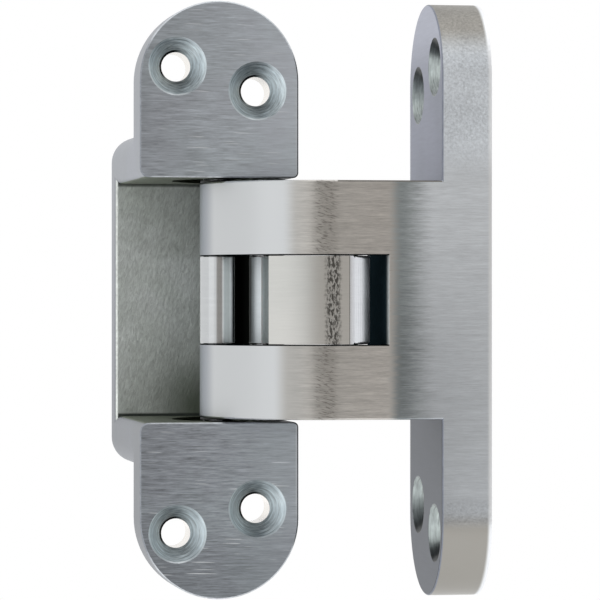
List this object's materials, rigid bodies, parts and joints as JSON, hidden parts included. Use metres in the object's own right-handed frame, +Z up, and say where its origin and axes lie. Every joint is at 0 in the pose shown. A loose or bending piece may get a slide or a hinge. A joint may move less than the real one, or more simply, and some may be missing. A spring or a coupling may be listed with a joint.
{
  "type": "concealed door hinge",
  "caption": "Concealed door hinge with rounded leaves, a mortised cup, a bent fork on the door leaf and a centre link, shown open at a right angle.",
  "frame": {"origin": "middle of the frame leaf's face, which lies flush with the edge of the jamb", "axes": "+Z up along the hinge, +Y into the jamb, away from the frame leaf's face, +X towards the door leaf as it stands open at a right angle"},
  "size_m": [0.0645, 0.0575, 0.112],
  "materials": {
    "cast_frame": "satin plated casting, brushed on its face",
    "cast_door": "satin plated casting, brushed on its edge and fork",
    "bright_link": "bright satin",
    "steel_pin": "ground",
    "bright_sleeve": "polished",
    "bronze_bush": "sintered",
    "glide": "acetal"
  },
  "bodies": {
    "frame": {"frame_body": "cast_frame", "frame_pin": "steel_pin", "frame_spacer_upper": "steel_pin", "frame_spacer_lower": "steel_pin"},
    "link": {"centre_link": "bright_link", "frame_bush_upper": "bronze_bush", "frame_bush_lower": "bronze_bush", "door_bush_upper": "bronze_bush", "door_bush_lower": "bronze_bush"},
    "door": {"door_leaf": "cast_door", "door_pin": "steel_pin", "guide_pin": "steel_pin", "guide_sleeve": "bright_sleeve", "glide_washer_upper": "glide", "glide_washer_lower": "glide"},
    "roller_upper": {"guide_roller_upper": "steel_pin"},
    "roller_lower": {"guide_roller_lower": "steel_pin"}
  },
  "joints": [
    {"name": "link_swing", "type": "hinge", "parent": "frame", "child": "link", "pos_m": [0.01053, 0.01005, 0], "axis": [0, 0, 1], "range_deg": [-133.55, 14.84]},
    {"name": "leaf_turn", "type": "hinge", "parent": "link", "child": "door", "pos_m": [0.0226, -0.0075, 0], "axis": [0, 0, 1], "range_deg": [-4.84, 43.55]},
    {"name": "roller_upper_spin", "type": "hinge", "parent": "door", "child": "roller_upper", "pos_m": [0.0012, 0.0105, 0.02515], "axis": [0, 0, 1], "continuous": true},
    {"name": "roller_lower_spin", "type": "hinge", "parent": "door", "child": "roller_lower", "pos_m": [0.0012, 0.0105, -0.02515], "axis": [0, 0, 1], "continuous": true}
  ],
  "couplings": [
    {"joint": "leaf_turn", "follows": "link_swing", "ratio": -0.32607}
  ]
}
